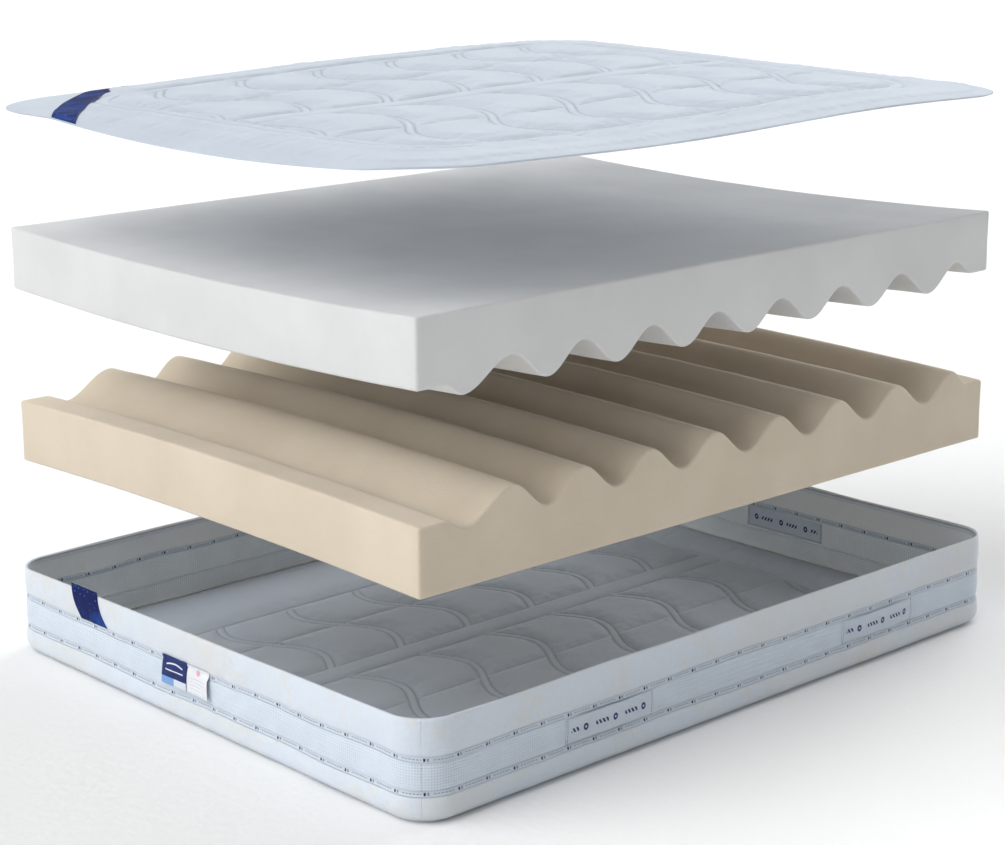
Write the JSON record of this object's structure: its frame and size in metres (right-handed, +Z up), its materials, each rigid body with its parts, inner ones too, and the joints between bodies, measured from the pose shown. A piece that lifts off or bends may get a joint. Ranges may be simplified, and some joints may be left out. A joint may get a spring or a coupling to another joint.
{
  "type": "memory foam mattress",
  "caption": "Double memory foam mattress opened out as a stack: quilted zip-off top panel, wavy memory foam over wavy core foam, and an open fabric cover tray.",
  "frame": {"origin": "middle of the cover's underside, on the surface that the mattress lies on", "axes": "+X from the foot end to the head end, +Y to the left of a sleeper lying face up, +Z up"},
  "size_m": [2.08, 1.7, 1.4475],
  "materials": {
    "quilted_fabric": "matte",
    "quilted_lining": "matte",
    "backing_cloth": "matte",
    "mesh_fabric": "matte",
    "wadding": "matte",
    "tape": "matte",
    "ribbon": "satin",
    "woven_label": "satin",
    "care_label": "satin",
    "zip_tape": "matte",
    "zip_metal": "satin",
    "core_foam": "matte",
    "memory_foam": "matte"
  },
  "bodies": {
    "cover": {"base_ticking": "quilted_fabric", "base_wadding": "wadding", "base_lining": "quilted_lining", "floor_seam_bead": "tape", "border_base_right": "quilted_fabric", "border_base_head": "quilted_fabric", "border_base_left": "quilted_fabric", "border_base_foot": "quilted_fabric", "border_mesh_right": "mesh_fabric", "border_mesh_head": "mesh_fabric", "border_mesh_left": "mesh_fabric", "border_mesh_foot": "mesh_fabric", "border_top_right": "quilted_fabric", "border_top_head": "quilted_fabric", "border_top_left": "quilted_fabric", "border_top_foot": "quilted_fabric", "lower_tape_outer": "tape", "upper_tape_outer": "tape", "upper_tape_inner": "tape", "handle_right_foot": "mesh_fabric", "handle_right_head": "mesh_fabric", "handle_head_end": "mesh_fabric", "handle_left_side": "mesh_fabric", "handle_patch_right_foot": "mesh_fabric", "handle_patch_right_head": "mesh_fabric", "handle_patch_head_end": "mesh_fabric", "handle_patch_left_side": "mesh_fabric", "foot_ribbon": "ribbon", "woven_label": "woven_label", "rim_zip_tape": "zip_tape"},
    "slider": {"zip_slider": "zip_metal"},
    "pull": {"zip_pull": "zip_metal"},
    "care_flap": {"care_label": "care_label"},
    "core": {"core_foam_layer": "core_foam"},
    "comfort": {"memory_foam_layer": "memory_foam"},
    "panel": {"panel_zip_tape": "zip_tape", "top_backing": "backing_cloth", "top_wadding": "wadding", "top_ticking": "quilted_fabric", "corner_ribbon": "ribbon"}
  },
  "joints": [
    {"name": "core_lift", "type": "slide", "parent": "cover", "child": "core", "axis": [0, 0, 1], "range_m": [-0.487, 0]},
    {"name": "comfort_lift", "type": "slide", "parent": "core", "child": "comfort", "axis": [0, 0, 1], "range_m": [-0.252, 0]},
    {"name": "panel_lift", "type": "slide", "parent": "comfort", "child": "panel", "axis": [0, 0, 1], "range_m": [-0.297, 0]},
    {"name": "zip_slide", "type": "slide", "parent": "cover", "child": "slider", "axis": [1, 0, 0], "range_m": [0, 1.64]},
    {"name": "zip_pull_turn", "type": "hinge", "parent": "slider", "child": "pull", "pos_m": [-0.8132, -0.8034, 0.233], "axis": [0, 0, 1], "range_deg": [-165, 0]},
    {"name": "care_label_flap", "type": "hinge", "parent": "cover", "child": "care_flap", "pos_m": [-1.0249, -0.016, 0.16], "axis": [0, 1, 0], "range_deg": [0, 110]}
  ]
}
